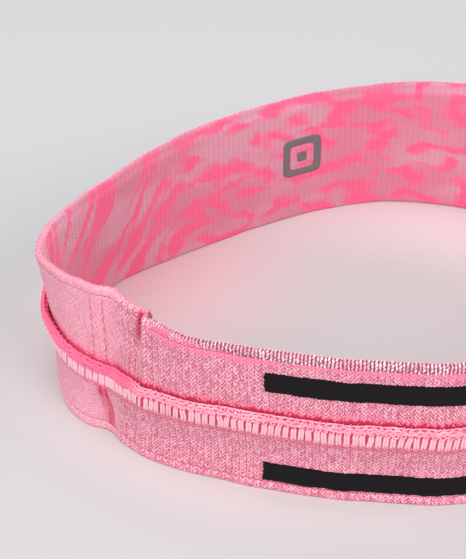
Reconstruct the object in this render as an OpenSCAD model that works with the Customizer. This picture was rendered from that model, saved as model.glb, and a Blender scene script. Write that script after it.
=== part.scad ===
// Stretch-knit headband standing on its edge, turned lining side out.
// A patterned face panel folds over both edges onto a lining of two knitted
// strips, which an overlocked seam joins round the middle of the band.

/* [Loop] */
// Length of the loop, along X, at the middle of the cloth
loop_length = 179; // [160:1:200]
// Depth of the loop, along Y, at the middle of the cloth
loop_depth = 152.5; // [130:0.5:170]
// Height of the band
band_height = 46; // [42:1:54]
// How far the band draws in at half its height
waist = 2.4; // [0:0.2:4]

/* [Cloth] */
// Thickness of one knitted ply
ply = 1.3; // [1:0.1:1.5]
// Air between two plies that lie together
ply_gap = 0.1; // [0.05:0.05:0.2]
// How far the face panel is turned over each edge onto the lining side
turn_over = 2.6; // [2:0.2:4]

/* [Overlocked seam] */
// Height of the needle line of the seam above the bottom edge
seam_height = 19.5; // [17:0.5:22]
// Height of the seam allowance, from its needle line to its raw edge
allowance = 6.5; // [5:0.5:8]
// Thickness of one ply pressed flat in the seam
pressed_ply = 0.9; // [0.7:0.1:1.1]
// Thickness of the overlock threads
thread = 0.35; // [0.2:0.05:0.5]

/* [Grip strips] */
// Width of each velvet strip
strip_width = 6.2; // [4:0.2:8]
// Thickness of each velvet strip
strip_thickness = 0.5; // [0.3:0.1:0.8]
// Height of the middle of the upper strip
upper_strip_height = 36.2; // [34:0.2:37]
// Height of the middle of the lower strip
lower_strip_height = 6.4; // [6.4:0.2:8]
// Distance from the closing seam to each end of a strip
strip_gap = 53.5; // [20:0.5:80]

/* [Closing seam] */
// Width of the ridge where the ends of the lower lining meet
ridge_width = 3.4; // [2:0.2:5]
// Length of one stitch of the closing seam
stitch_length = 1.5; // [1:0.1:2]
// Distance from one stitch to the next
stitch_pitch = 2.2; // [2.1:0.1:3]

/* [Reflective mark] */
// Outer size of the square frame
mark_size = 14; // [8:1:16]
// Width of the frame's sides, and half the size of its middle square
mark_line = 2.4; // [1.5:0.1:2.5]
// Height of its middle
mark_height = 25; // [20:1:28]

/* [Hidden] */

// The loop's course at its bottom and top edges, from the closing seam round
// by the near side, the right end, the far side and the left end. The same
// place in both lists is the same wale of the knitting.
right_end = [22, 0];
right_reach = [68, 75.5];
right_turn = [for (a = [-67.5 : 22.5 : 67.5])
    right_end + [right_reach.x * cos(a), right_reach.y * sin(a)]];
bottom_course = concat(
    [[-71.5, -44], [-68.5, -47], [-66.5, -50], [-62.5, -54.5], [-61, -56], [-58.5, -57.5],
     [-52, -61], [-46, -63.5], [-32, -68], [-14, -72.5], [4, -75], [22, -75.5]],
    right_turn,
    [[24, 77], [6, 76], [-14, 69.5], [-32, 59.5], [-49, 47.5], [-64, 37],
     [-75.5, 26.5], [-83, 11], [-87, -5], [-86.5, -20], [-82.5, -34.5], [-77.5, -41.5]]);
top_course = concat(
    [[-73.5, -40.5], [-68, -42], [-64, -47], [-60.5, -53], [-59.5, -56], [-57, -57.5],
     [-51.5, -62.5], [-46, -65.5], [-32, -69], [-14, -73], [4, -75.5], [22, -75.5]],
    right_turn,
    [[24, 74.5], [6, 71.5], [-14, 65.5], [-32, 55.5], [-48, 43.5], [-61.5, 29.5],
     [-71.5, 16], [-80.5, 2.5], [-87.5, -12], [-89, -24.5], [-82.5, -34], [-77.5, -38]]);

spans = len(bottom_course);
steps = 4;
stations = spans * steps;

function lowest(points, axis) = min([for (p = points) p[axis]]);
function highest(points, axis) = max([for (p = points) p[axis]]);
both_courses = concat(bottom_course, top_course);
low = [lowest(both_courses, 0), lowest(both_courses, 1)];
high = [highest(both_courses, 0), highest(both_courses, 1)];
middle = (low + high) / 2;
stretch = [loop_length / (high.x - low.x), loop_depth / (high.y - low.y)];

// A place u along a closed course: whole numbers are its points in turn
function point(course, i) = course[(i + 2 * spans) % spans];
function curve(a, b, c, d, t) =
    b + ((c - a) * t + (2 * a - 5 * b + 4 * c - d) * t * t
         + (3 * b - 3 * c + d - a) * t * t * t) / 2;
function on_course(course, u) = let (i = floor(u), t = u - i)
    curve(point(course, i - 1), point(course, i), point(course, i + 1), point(course, i + 2), t);
function along(u, height) = let (
    rise = height / band_height,
    p = on_course(bottom_course, u) * (1 - rise) + on_course(top_course, u) * rise - middle)
    [p.x * stretch.x, p.y * stretch.y];
function outward(u) = let (
    step = along(u + 0.05, band_height / 2) - along(u - 0.05, band_height / 2))
    [step.y, -step.x] / norm(step);
// Point of the band at place u, a distance out from its middle layer, and a height
function spot(u, out, height) = let (
    p = along(u, height) + outward(u) * (out - waist * sin(180 * height / band_height)))
    [p.x, p.y, height];

// Length along the band, at half its height, from the closing seam to each station
function run_to(i, done = 0, k = 0) = k >= i ? done
    : run_to(i, done + norm(along((k + 1) / steps, band_height / 2)
                            - along(k / steps, band_height / 2)), k + 1);
circumference = run_to(stations);
function place_at(run, i = 0) = run_to(i + 1) > run ? i / steps : place_at(run, i + 1);

// Triangles of the skin between rows of points that each follow one outline
function skin(rows, sides, closed) = [
    for (i = [0 : (closed ? rows : rows - 1) - 1]) for (j = [0 : sides - 1])
        let (here = i * sides, there = (i + 1) % rows * sides, next = (j + 1) % sides)
            each [[here + j, here + next, there + next], [here + j, there + next, there + j]]];

// A band with one outline of [out, height] points all round the loop
module round_band(outline) {
    sides = len(outline);
    polyhedron(
        [for (i = [0 : stations - 1]) for (p = outline) spot(i / steps, p.x, p.y)],
        skin(stations, sides, true));
}

// A stretch of band between two places on the loop
module part_band(outline, places) {
    sides = len(outline);
    polyhedron(
        [for (u = places) for (p = outline) spot(u, p.x, p.y)],
        concat(skin(len(places), sides, false),
               [[for (j = [sides - 1 : -1 : 0]) j],
                [for (j = [0 : sides - 1]) (len(places) - 1) * sides + j]]));
}

function box_outline(inner, outer, bottom, top) =
    [[inner, bottom], [outer, bottom], [outer, top], [inner, top]];

skin_out = ply + ply_gap;
// Height of the rolled edge, and the bevel of its foot
roll = 1.1;
bevel = 0.3;
// Clearance between pieces that lie on each other
clear = 0.05;
// Height from which the lower lining slants out to the seam allowance
step_height = seam_height - 6.5;
seam_top = seam_height + allowance;
wall_levels = [for (k = [1 : 4]) band_height * k / 5];
upper_levels = [for (k = [1 : 2]) seam_top + (band_height - turn_over - seam_top) * k / 3];
lower_levels = [for (k = [1 : 2]) turn_over + (step_height - turn_over) * k / 2];

function raised(levels, out) = [for (z = levels) [out, z]];
function lowered(levels, out) = [for (k = [len(levels) - 1 : -1 : 0]) [out, levels[k]]];

// Patterned face, with its rolled edges turned onto the lining side
module face_panel() {
    color("hotpink") round_band(concat(
        [[-skin_out + bevel, 0], [skin_out - bevel, 0], [skin_out, roll], [skin_out, turn_over],
         [ply_gap, turn_over], [-ply_gap, roll]],
        raised(wall_levels, -ply_gap),
        [[-ply_gap, band_height - roll], [ply_gap, band_height - turn_over],
         [skin_out, band_height - turn_over], [skin_out, band_height - roll],
         [skin_out / 2, band_height], [-skin_out / 2, band_height],
         [-skin_out, band_height - roll]],
        lowered(wall_levels, -skin_out),
        [[-skin_out, roll]]));
}

// The two plies of the seam allowance stand up against the upper lining
first_ply_in = skin_out + ply_gap;
first_ply_out = first_ply_in + pressed_ply;
second_ply_in = first_ply_out + ply_gap;
second_ply_out = second_ply_in + pressed_ply;
fold_height = seam_height - pressed_ply;

// Upper strip of lining; its lower end turns out and up as the inner allowance
module lining_upper() {
    lining_top = band_height - turn_over - ply_gap;
    color("lightpink") round_band(concat(
        [[ply_gap, fold_height], [first_ply_out, fold_height], [first_ply_out, seam_top],
         [first_ply_in, seam_top], [first_ply_in, seam_height], [skin_out, seam_height]],
        raised(upper_levels, skin_out),
        [[skin_out, lining_top], [ply_gap, lining_top]],
        lowered(upper_levels, ply_gap)));
}

// Lower strip of lining; its upper end slants out and stands up as the outer allowance
module lining_lower() {
    under_fold = fold_height - ply_gap;
    color("pink") round_band(concat(
        [[ply_gap, turn_over + ply_gap], [skin_out, turn_over + ply_gap]],
        raised(lower_levels, skin_out),
        [[second_ply_out, under_fold], [second_ply_out, seam_top],
         [second_ply_in, seam_top], [second_ply_in, under_fold]],
        lowered(lower_levels, ply_gap)));
}

thread_in = second_ply_out + clear;
thread_out = thread_in + thread;
needle_line = 1.1;
looped_edge = 1.5;
bar_bottom = seam_height + needle_line + clear;
bar_top = seam_top - looped_edge;

// Needle thread, a ridge of stitches along the bottom of the allowance
module overlock_needle_thread() {
    color("palevioletred")
        round_band(box_outline(thread_in, thread_out, seam_height, seam_height + needle_line));
}

// Upper looper thread, the row of upright bars on the front of the allowance
module overlock_upper_looper_thread() {
    color("mistyrose") round_band(box_outline(thread_in, thread_out, bar_bottom, bar_top));
}

// Lower looper thread, from the bars up over the raw edge to the back
module overlock_lower_looper_thread() {
    color("lightcoral") round_band(
        [[thread_in, bar_top + clear], [thread_out, bar_top + clear],
         [thread_out, seam_top + thread], [first_ply_in, seam_top + thread],
         [first_ply_in, seam_top + clear], [thread_in, seam_top + clear]]);
}

// Velvet strips that keep the band from slipping, ending clear of the closing seam
strip_in = skin_out + clear;
first_place = place_at(strip_gap);
last_place = place_at(circumference - strip_gap);
strip_places = [for (u = [first_place : 1 / steps : last_place]) u];
module grip_strip(height) {
    color("#262628") part_band(
        box_outline(strip_in, strip_in + strip_thickness,
                    height - strip_width / 2, height + strip_width / 2),
        strip_places);
}
module grip_strip_upper() { grip_strip(upper_strip_height); }
module grip_strip_lower() { grip_strip(lower_strip_height); }

// Places on both sides of the closing seam, width mm apart at their ends
seam_scale = norm(along(0.5, band_height / 2) - along(-0.5, band_height / 2));
function across(offset, width) =
    [for (k = [-2 : 2]) (offset + k * width / 4) / seam_scale];

// Ends of the lower lining, seamed and pressed to one side
module closing_seam_ridge() {
    color("palevioletred")
        part_band(box_outline(skin_out + clear, skin_out + pressed_ply, turn_over + clear, step_height),
                  across(0, ridge_width));
}

// Two columns of stitches at the given distance out, between two heights
module stitch_columns(inner, bottom, top) {
    for (side = [-1, 1]) for (z = [bottom : stitch_pitch : top - stitch_length])
        part_band(box_outline(inner, inner + thread, z, z + stitch_length),
                  across(side * ridge_width / 2, 2 * thread));
}

// Closing seam of the upper lining
module closing_stitches_lining() {
    color("lavenderblush") stitch_columns(
        skin_out + clear, seam_top + looped_edge, band_height - turn_over);
}

// Closing seam of the face panel, on the inside of the loop
module closing_stitches_face() {
    color("mediumvioletred") stitch_columns(
        -skin_out - thread - clear, turn_over, band_height - turn_over);
}

// Plain square badge of reflective film, on the face opposite the near wall
mark_place = 21.1;
mark_film = 0.15;
mark_scale = norm(along(mark_place + 0.5, band_height / 2)
                  - along(mark_place - 0.5, band_height / 2));
function mark_places(from, to) =
    [for (k = [0 : 4]) mark_place + (from + (to - from) * k / 4) / mark_scale];
module film(from, to, bottom, top) {
    levels = [for (k = [0 : 4]) bottom + (top - bottom) * k / 4];
    part_band(concat(lowered(levels, -skin_out - clear - mark_film),
                     raised(levels, -skin_out - clear)),
              mark_places(from, to));
}
module reflective_mark() {
    half = mark_size / 2;
    mid = mark_height;
    side = half - mark_line - clear;
    color("gray") {
        film(-half, half, mid - half, mid - half + mark_line);
        film(-half, half, mid + half - mark_line, mid + half);
        film(-half, -half + mark_line, mid - side, mid + side);
        film(half - mark_line, half, mid - side, mid + side);
        film(-mark_line / 2, mark_line / 2, mid - mark_line / 2, mid + mark_line / 2);
    }
}

face_panel();
lining_upper();
lining_lower();
overlock_needle_thread();
overlock_upper_looper_thread();
overlock_lower_looper_thread();
grip_strip_upper();
grip_strip_lower();
closing_seam_ridge();
closing_stitches_lining();
closing_stitches_face();
reflective_mark();
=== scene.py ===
"""Stretch-knit headband, standing on its edge with its lining side out."""

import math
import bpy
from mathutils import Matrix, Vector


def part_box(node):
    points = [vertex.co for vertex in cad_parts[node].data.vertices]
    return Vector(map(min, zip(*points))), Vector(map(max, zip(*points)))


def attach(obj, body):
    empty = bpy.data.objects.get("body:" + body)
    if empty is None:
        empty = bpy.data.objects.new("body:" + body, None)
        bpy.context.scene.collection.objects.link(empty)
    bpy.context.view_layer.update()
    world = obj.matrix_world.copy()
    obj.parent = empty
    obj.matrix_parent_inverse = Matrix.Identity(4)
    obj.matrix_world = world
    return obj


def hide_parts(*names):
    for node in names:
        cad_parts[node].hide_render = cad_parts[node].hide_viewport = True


bl_info = {
    "name": "Knitted Headband",
    "version": (1, 0, 0),
    "blender": (4, 5, 0),
    "location": "View3D > Sidebar > Headband",
    "description": "Builds the knitted cloth, seams and grip strips of a sports headband round its frame",
    "category": "Add Mesh",
}

import bpy
import numpy as np
from bpy.props import FloatProperty, FloatVectorProperty, IntProperty, PointerProperty
from mathutils import Vector

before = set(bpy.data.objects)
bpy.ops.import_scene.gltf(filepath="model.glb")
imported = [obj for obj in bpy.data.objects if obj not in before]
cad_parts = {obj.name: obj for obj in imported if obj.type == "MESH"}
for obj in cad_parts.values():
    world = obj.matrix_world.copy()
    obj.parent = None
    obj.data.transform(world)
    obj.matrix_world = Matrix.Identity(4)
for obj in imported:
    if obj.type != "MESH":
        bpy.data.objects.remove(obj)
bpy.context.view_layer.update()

MM = 0.001
BODY = "root"
WALE_MAP = "wales"


def box_mm(node):
    """Lowest and highest corner of a frame node, in millimetres."""
    low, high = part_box(node)
    return np.array(low) / MM, np.array(high) / MM


FACE_LOW, FACE_HIGH = box_mm("face_panel")
BAND_HEIGHT = FACE_HIGH[2] - FACE_LOW[2]
SEAM_BOTTOM = box_mm("overlock_needle_thread")[0][2]
BAR_BOTTOM, BAR_TOP = (corner[2] for corner in box_mm("overlock_upper_looper_thread"))
LINING_TOP = box_mm("lining_upper")[1][2]
LINING_FOLD = box_mm("lining_upper")[0][2]
LINING_FOOT = box_mm("lining_lower")[0][2]
SEAM_TOP = box_mm("lining_lower")[1][2]
RIDGE_FOOT = box_mm("closing_seam_ridge")[0][2]

# Half thickness of the two plies together, and of the air between them
SKIN = 1.4
AIR = 0.1
# How far the wall is drawn in at half its height, and how far the face is turned over its edges
WAIST = 0.9
TURN_OVER = 2.6
# Distance along the band from the closing seam to each end of the grip strips
STRIP_GAP = 53.5
# Size of the closing seam's stitches and of the reflective mark's lines
STITCH_GAP = 1.7
STITCH_PITCH = 2.2
STITCH_LENGTH = 1.6
MARK_LINE = 2.5
MARK_SQUARE = 3.5


# ---------------------------------------------------------------------------
# Sizes and colours
# ---------------------------------------------------------------------------


def colour(name, description, red, green, blue):
    """A colour setting, given as the screen shows it."""
    screen = np.array([red, green, blue]) / 255
    linear = np.where(screen <= 0.04045, screen / 12.92, ((screen + 0.055) / 1.055) ** 2.4)
    return FloatVectorProperty(
        name=name, description=description, subtype="COLOR", size=3, min=0, max=1, default=tuple(linear)
    )


def measure(name, description, default, low, high):
    """A size setting, with the lowest and highest value that it takes."""
    return FloatProperty(name=name, description=description, default=default, min=low, max=high)


class HeadbandSizes(bpy.types.PropertyGroup):
    """Sizes of the knitting and the sewing, in millimetres where no other unit is given."""

    wales: IntProperty(
        name="Wales", description="Columns of stitches round the band", default=264, min=120, max=400
    )
    course: measure("Course", "Height of one row of stitches", 1.26, 0.8, 2)
    stitch_rise: measure("Stitch rise", "Rise of a stitch's legs to its sides, in courses", 1.15, 0.4, 2)
    lining_relief: measure("Lining relief", "How far the lining's stitches stand out", 0.14, 0, 0.4)
    face_relief: measure("Face relief", "How far the face's stitches stand out", 0.1, 0, 0.4)
    fold_relief: measure("Fold relief", "How far they stand out where the face turns over", 0.05, 0, 0.5)
    strip_nap: measure("Strip nap", "Unevenness of the velvet's cut edges", 0.22, 0, 0.5)
    strand: measure("Strand", "Thickness of one overlock thread", 0.46, 0.2, 0.8)


class HeadbandColours(bpy.types.PropertyGroup):
    """Colours of the yarns, the threads and the trim, of the painted shade and light of the knit and the
    seams, and of the floor.
    """

    # The lining's two shades are the ends of its painted relief: painted highlight on the raised legs,
    # painted shade in the gaps.
    lining_light: colour("Lining light", "Raised legs of the lining's stitches", 249, 187, 203)
    lining_deep: colour("Lining deep", "Gaps between the lining's stitches", 214, 92, 126)
    hot_pink: colour("Hot pink", "Bright yarn of the face", 251, 104, 146)
    # Painted shade: crimson in the seam's creases, behind and under its bars, and in the pressed ridge's
    # groove.
    painted_shade_crimson: colour("Crimson", "Creases of the seam", 212, 40, 88)
    dusty_pink: colour("Dusty pink", "Ground yarn of the face", 222, 156, 175)
    rose_pink: colour("Rose pink", "Rosier parts of the face's ground", 222, 134, 158)
    silver: colour("Silver", "Ground yarn where the face is turned over", 242, 206, 214)
    # Painted shade seen in the gaps between stitches, on the turned edge and in the lining's hollows.
    painted_gap_mauve: colour("Mauve", "Gaps between the stitches of the turned edge", 146, 68, 94)
    bar_pink: colour("Bar pink", "Upper looper thread", 234, 182, 194)
    loop_pink: colour("Loop pink", "Lower looper thread", 255, 178, 196)
    needle_pink: colour("Needle pink", "Needle and closing threads", 236, 128, 158)
    velvet: colour("Velvet", "Grip strips", 20, 18, 20)
    film: colour("Film", "Reflective mark", 118, 112, 114)
    # Floor colours with painted light and shade: pink bounce light beside, inside and at the left end of
    # the band, darker in the loop's middle, brighter towards the back.
    floor_beside: colour("Floor beside the band", "Floor lit by the outside of the band", 199, 195, 195)
    floor_inside: colour("Floor inside the band", "Floor in the middle of the loop", 181, 179, 179)
    floor_rose: colour("Rose glow on the floor", "Floor lit by the left end", 216, 178, 184)
    floor_glow: colour("Glow on the floor", "Floor lit by the inside of the band", 208, 200, 201)
    floor_back: colour("Floor at the back", "Floor far behind the band", 190, 190, 192)
    floor: colour("Floor", "Floor of the stage", 182, 182, 184)


def sizes():
    """The size settings of the scene."""
    return bpy.context.scene.headband_sizes


def shade_of(name):
    """A colour setting as a shader takes it."""
    return (*getattr(bpy.context.scene.headband_colours, name), 1)


# ---------------------------------------------------------------------------
# The loop that every piece follows
# ---------------------------------------------------------------------------

# The loop's course at its bottom and top edges, in millimetres, from the closing
# seam round by the near side, the right end, the far side and the left end
RIGHT_END = np.array([22, 0])
RIGHT_REACH = np.array([68, 75.5])
RIGHT_ANGLES = np.radians(np.arange(-67.5, 68, 22.5))
RIGHT_TURN = RIGHT_END + RIGHT_REACH * np.stack([np.cos(RIGHT_ANGLES), np.sin(RIGHT_ANGLES)], 1)
BOTTOM_COURSE = np.concatenate([
    [[-71.5, -44], [-68.5, -47], [-66.5, -50], [-62.5, -54.5], [-61, -56], [-58.5, -57.5],
     [-52, -61], [-46, -63.5], [-32, -68], [-14, -72.5], [4, -75], [22, -75.5]],
    RIGHT_TURN,
    [[24, 77], [6, 76], [-14, 69.5], [-32, 59.5], [-49, 47.5], [-64, 37], [-75.5, 26.5],
     [-83, 11], [-87, -5], [-86.5, -20], [-82.5, -34.5], [-77.5, -41.5]],
])
TOP_COURSE = np.concatenate([
    [[-73.5, -40.5], [-68, -42], [-64, -47], [-60.5, -53], [-59.5, -56], [-57, -57.5],
     [-51.5, -62.5], [-46, -65.5], [-32, -69], [-14, -73], [4, -75.5], [22, -75.5]],
    RIGHT_TURN,
    [[24, 74.5], [6, 71.5], [-14, 65.5], [-32, 55.5], [-48, 43.5], [-61.5, 29.5], [-71.5, 16],
     [-80.5, 2.5], [-87.5, -12], [-89, -24.5], [-82.5, -34], [-77.5, -38]],
])


def on_course(course, place):
    """Points at places along the closed smooth curve through course, whose points are whole places."""
    first = np.floor(place).astype(int)
    t = (place - first)[..., None]
    a, b, c, d = (course[(first + k) % len(course)] for k in (-1, 0, 1, 2))
    bend = (c - a) * t + (2 * a - 5 * b + 4 * c - d) * t**2 + (3 * b - 3 * c + d - a) * t**3
    return b + bend / 2


def along_chain(points):
    """Distances along a chain of points to each of them."""
    return np.concatenate([[0], np.cumsum(np.linalg.norm(np.diff(points, axis=0), axis=1))])


PLACES = np.arange(0, len(BOTTOM_COURSE) + 0.01, 0.02)
BOTH_COURSES = np.concatenate([BOTTOM_COURSE, TOP_COURSE])
COURSE_MIDDLE = (BOTH_COURSES.min(0) + BOTH_COURSES.max(0)) / 2
BOTTOM_LINE = on_course(BOTTOM_COURSE, PLACES) - COURSE_MIDDLE
TOP_LINE = on_course(TOP_COURSE, PLACES) - COURSE_MIDDLE
HALF_LINE = (BOTTOM_LINE + TOP_LINE) / 2
RUNS = along_chain(HALF_LINE)
CIRCUMFERENCE = RUNS[-1]
HEADING = np.gradient(HALF_LINE, axis=0)
HEADING[0] = HEADING[-1] = (HEADING[0] + HEADING[-1]) / 2
HEADING /= np.linalg.norm(HEADING, axis=1)[:, None]
OUTWARD = np.stack([HEADING[:, 1], -HEADING[:, 0]], 1)


def at_run(table, run):
    """Rows of a table of the loop at distances run along the band from the closing seam."""
    run = np.mod(run, CIRCUMFERENCE)
    return np.stack([np.interp(run, RUNS, table[:, k]) for k in (0, 1)], -1)


# Distances along the band over which the near side begins and ends, and the left end begins
NEAR_BEGINS = (14, 18)
NEAR_ENDS = (210, 240)
LEFT_END = (398, 440)
# Where the turned edge's yarn leaves the top on the far side, and comes back at the left end
FOLD_LEAVES = (225, 245)
FOLD_RETURNS = (CIRCUMFERENCE - 50, CIRCUMFERENCE - 20)


def about_seam(run):
    """Distances along the band, with the last 100 mm before the closing seam counted as negative."""
    return np.mod(run + 100, CIRCUMFERENCE) - 100


def hump(run, middle, half_width, power=2):
    """A smooth hump, 1 at its middle."""
    return np.exp(-((np.abs(run - middle) / half_width) ** power))


def sway(run):
    """Slight waves of the standing cloth, the same for every layer."""
    turn = 2 * math.pi * run / CIRCUMFERENCE
    return 0.18 * np.sin(9 * turn + 1) + 0.1 * np.sin(23 * turn) + 0.06 * np.sin(41 * turn + 2)


def crease(run, rise):
    """The puckered cloth of the upper wall: a swell before the closing seam, a short one after it, and
    then a crease that slants back as it goes down."""
    run = about_seam(run)
    upper = np.clip((rise - 0.55) / 0.4, 0, 1)
    swells = 0.9 * hump(run, 8.5, 4.5) + hump(run, -28, 22)
    return (swells - 1.6 * hump(run + 8 * (1 - rise), 16.8, 1.2)) * upper


def sag(run, height):
    """How far the cloth hangs along the seam, most of all where the closing seam makes it heavy."""
    depth = 0.6 + 4.4 * hump(about_seam(run), 4, 18, 1.6)
    share = np.interp(height, [TURN_OVER, SEAM_BOTTOM - 2, SEAM_TOP, LINING_TOP], [0, 1, 1, 0])
    return depth * share * share * (3 - 2 * share)


def spot(run, out, height):
    """Points of the band, in metres: a distance run along it, out from its middle layer, and a height."""
    run, out, height = np.broadcast_arrays(*(np.asarray(x, float) for x in (run, out, height)))
    rise = (height / BAND_HEIGHT)[..., None]
    drawn_in = WAIST * np.sin(math.pi * np.clip(height / BAND_HEIGHT, 0, 1))
    level = at_run(BOTTOM_LINE, run) * (1 - rise) + at_run(TOP_LINE, run) * rise
    shift = sway(run) + crease(run, height / BAND_HEIGHT)
    level = level + at_run(OUTWARD, run) * (out - drawn_in + shift)[..., None]
    return np.concatenate([level, (height - sag(run, height))[..., None]], -1) * MM


# ---------------------------------------------------------------------------
# Mesh building
# ---------------------------------------------------------------------------


def new_piece(name, points, faces, wale_map=None):
    """A smooth mesh object from points and faces, with a map of its wales and courses at its corners."""
    mesh = bpy.data.meshes.new(name)
    mesh.from_pydata(np.asarray(points).reshape(-1, 3).tolist(), [], faces)
    if wale_map is not None:
        layer = mesh.uv_layers.new(name=WALE_MAP)
        layer.data.foreach_set("uv", np.asarray(wale_map, np.float32).ravel())
    mesh.polygons.foreach_set("use_smooth", np.ones(len(mesh.polygons), bool))
    mesh.update()
    piece = bpy.data.objects.new(name, mesh)
    bpy.context.scene.collection.objects.link(piece)
    return piece


def dress(piece, material, slot, *nodes):
    """Gives a piece its material and the band's body, and hides the frame nodes that it stands for."""
    piece.data.materials.append(material)
    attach(piece, BODY)
    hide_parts(*nodes)
    return piece


def evenly(points, spacing):
    """Places spaced evenly along a chain of points, without its last one."""
    points = np.array(points, float)
    lengths = along_chain(points)
    count = max(1, round(lengths[-1] / spacing))
    marks = np.linspace(0, lengths[-1], count + 1)[:-1]
    return np.stack([np.interp(marks, lengths, points[:, k]) for k in (0, 1)], 1)


def rounded(points, rounds=3):
    """A chain of points with its corners cut back, over and over, into curves."""
    points = np.array(points, float)
    for _ in range(rounds):
        near, far = points[:-1] * 0.75 + points[1:] * 0.25, points[:-1] * 0.25 + points[1:] * 0.75
        points = np.concatenate([points[:1], np.stack([near, far], 1).reshape(-1, 2), points[-1:]])
    return points


class Outline:
    """A closed outline of cloth, cut across the band: its rows' places [out, height], outward normals,
    course numbers and stitch relief. Each stretch is (points, row spacing, relief)."""

    def __init__(self, stretches):
        places = [evenly(points, spacing) for points, spacing, _ in stretches]
        relief = [np.full(len(p), s[2], float) for p, s in zip(places, stretches)]
        self.places = np.concatenate(places)
        self.relief = np.concatenate(relief)
        ahead = np.roll(self.places, -1, 0) - np.roll(self.places, 1, 0)
        self.normals = np.stack([ahead[:, 1], -ahead[:, 0]], 1)
        self.normals /= np.linalg.norm(self.normals, axis=1)[:, None]
        steps = np.linalg.norm(np.roll(self.places, -1, 0) - self.places, axis=1)
        self.length = steps.sum()
        start = self.places[0][1]
        self.courses = (start + np.concatenate([[0], np.cumsum(steps)])) / sizes().course


def stitch_height(wale, course):
    """Height of the stitches, from 0 in the gaps to 1 on the legs: each stitch is a V of two legs."""
    across = np.abs(wale - np.floor(wale) - 0.5)
    phase = course - 2 * sizes().stitch_rise * across
    phase = phase - np.floor(phase)
    return np.sin(math.pi * phase) * np.sin(2 * math.pi * (0.85 * across + 0.075)).clip(0) ** 0.5


def knitted_tube(name, outline, per_wale=4):
    """Cloth that runs all round the loop with one outline, and with its stitches standing out."""
    wales = sizes().wales
    columns = wales * per_wale
    rows = len(outline.places)
    wale = np.arange(columns)[:, None] / per_wale
    raised = stitch_height(wale, outline.courses[None, :-1]) * outline.relief
    out = outline.places[:, 0] + raised * outline.normals[:, 0]
    height = np.maximum(outline.places[:, 1] + raised * outline.normals[:, 1], 0)
    points = spot(wale * CIRCUMFERENCE / wales, out, height)
    column, row = np.meshgrid(np.arange(columns), np.arange(rows), indexing="ij")
    here, there = column * rows, (column + 1) % columns * rows
    up = (row + 1) % rows
    faces = np.stack([here + row, there + row, there + up, here + up], -1).reshape(-1, 4)
    left, right = column / per_wale, (column + 1) / per_wale
    low, high = outline.courses[row], outline.courses[row + 1]
    corners = np.stack([left, low, right, low, right, high, left, high], -1)
    return new_piece(name, points, faces.tolist(), corners)


def cloth(node, outline, material, slot):
    """A knitted tube in the place of a frame node."""
    piece = dress(knitted_tube(node, outline), material, slot, node)


def threads(name, paths, width, depth, taper, closed=False, sides=6, marks=None):
    """Round or flattened threads in one mesh. paths is an array of [run, out, height] points for each
    thread, and taper the share of the full thickness at each point. Each thread's map begins at its
    mark, and runs on by one, or by the number of wales in a closed thread."""
    paths = np.asarray(paths, float)
    count, length = paths.shape[:2]
    centres = spot(paths[..., 0], paths[..., 1], paths[..., 2])
    if closed:
        ahead = np.roll(centres, -1, 1) - np.roll(centres, 1, 1)
    else:
        ahead = np.gradient(centres, axis=1)
    ahead /= np.linalg.norm(ahead, axis=-1, keepdims=True)
    outward = at_run(OUTWARD, paths[..., 0])
    outward = np.concatenate([outward, np.zeros(outward.shape[:-1] + (1,))], -1)
    side = np.cross(ahead, outward)
    side /= np.linalg.norm(side, axis=-1, keepdims=True)
    front = np.cross(side, ahead)
    angle = np.arange(sides) * 2 * math.pi / sides
    size = np.broadcast_to(np.asarray(taper, float), (count, length))[..., None, None] * MM / 2
    ring = (
        side[:, :, None] * np.cos(angle)[:, None] * width
        + front[:, :, None] * np.sin(angle)[:, None] * depth
    )
    points = centres[:, :, None] + ring * size
    spans = length if closed else length - 1
    thread, span, edge = np.meshgrid(
        np.arange(count), np.arange(spans), np.arange(sides), indexing="ij"
    )
    base, next_edge = thread * length * sides, (edge + 1) % sides
    here, there = base + span * sides, base + (span + 1) % length * sides
    faces = np.stack([here + edge, here + next_edge, there + next_edge, there + edge], -1)
    faces = faces.reshape(-1, 4).tolist()
    if marks is None:
        marks = np.stack([np.arange(count), np.zeros(count)], 1)
    marks = np.asarray(marks, float)
    step = (sizes().wales if closed else 0.99) / spans
    along, beside = marks[thread, 0] + span * step, marks[thread, 1]
    around, next_around = beside + edge / sides, beside + (edge + 1) / sides
    corners = [along, around, along, next_around, along + step, next_around, along + step, around]
    corners = np.stack(corners, -1).reshape(-1, 2)
    if not closed:
        for k in range(count):
            first, last = k * length * sides, ((k + 1) * length - 1) * sides
            faces.append([first + j for j in range(sides - 1, -1, -1)])
            faces.append([last + j for j in range(sides)])
        corners = np.concatenate([corners, np.zeros((2 * count * sides, 2))])
    return new_piece(name, points, faces, corners)


def patch(name, run, height, inner, outer):
    """A closed slab on the band: grids of runs and heights with an inner and an outer surface."""
    columns, rows = run.shape
    points = np.concatenate([spot(run, inner, height), spot(run, outer, height)])
    index = np.arange(columns * rows).reshape(columns, rows)
    top = index + columns * rows

    def quads(a, b, c, d):
        return np.stack([a, b, c, d], -1).reshape(-1, 4)

    faces = np.concatenate([
        quads(top[:-1, :-1], top[1:, :-1], top[1:, 1:], top[:-1, 1:]),
        quads(index[:-1, :-1], index[:-1, 1:], index[1:, 1:], index[1:, :-1]),
        quads(index[:-1, 0], index[1:, 0], top[1:, 0], top[:-1, 0]),
        quads(index[1:, -1], index[:-1, -1], top[:-1, -1], top[1:, -1]),
        quads(index[0, 1:], index[0, :-1], top[0, :-1], top[0, 1:]),
        quads(index[-1, :-1], index[-1, 1:], top[-1, 1:], top[-1, :-1]),
    ])
    wale = np.tile((run / CIRCUMFERENCE * sizes().wales).ravel(), 2)
    course = np.tile((height / sizes().course).ravel(), 2)
    corners = np.stack([wale[faces], course[faces]], -1)
    return new_piece(name, points, faces.tolist(), corners)


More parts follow.
